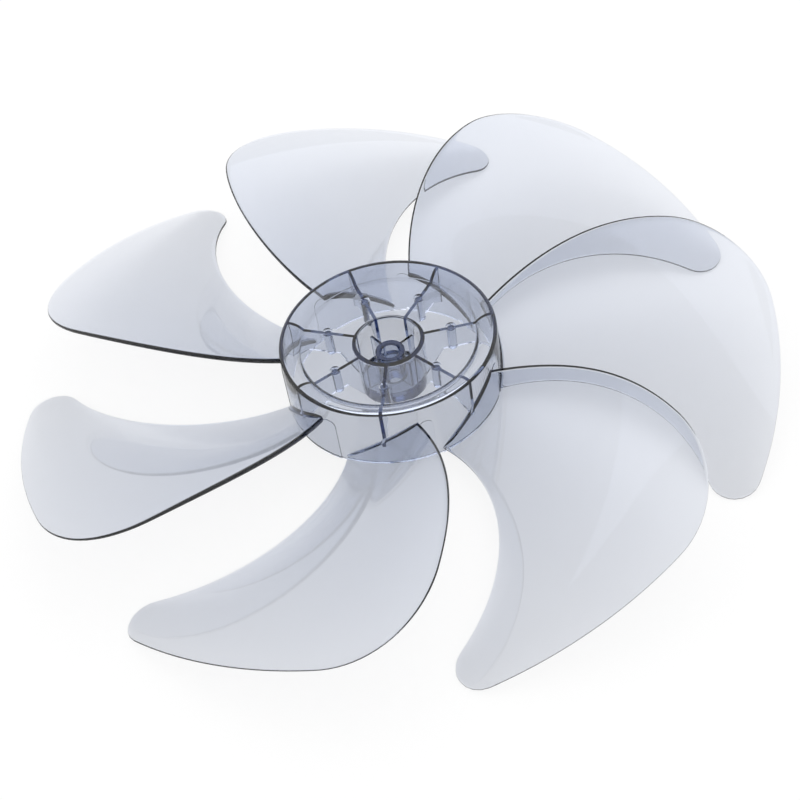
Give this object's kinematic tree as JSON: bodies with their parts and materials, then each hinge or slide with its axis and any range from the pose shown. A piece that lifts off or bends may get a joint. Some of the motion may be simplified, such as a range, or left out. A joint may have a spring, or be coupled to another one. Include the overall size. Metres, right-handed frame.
{
  "type": "pedestal fan blade",
  "caption": "Clear-tinted moulded axial rotor for a pedestal fan: swept, twisted blades on a ribbed hub with a closed front face, a nut well and a keyless central shaft bore.",
  "frame": {"origin": "centre of the shaft bore at the hub's rear end", "axes": "+Z along the shaft axis from the open rear side of the hub to its closed front face; +X along one of the hub's ribs"},
  "size_m": [0.3493, 0.3498, 0.0457],
  "materials": {
    "smoky_plastic": "clear smoky blue-grey styrene plastic, glossy on both sides"
  },
  "bodies": {
    "root": {"fan_blade": "smoky_plastic"}
  },
  "joints": []
}
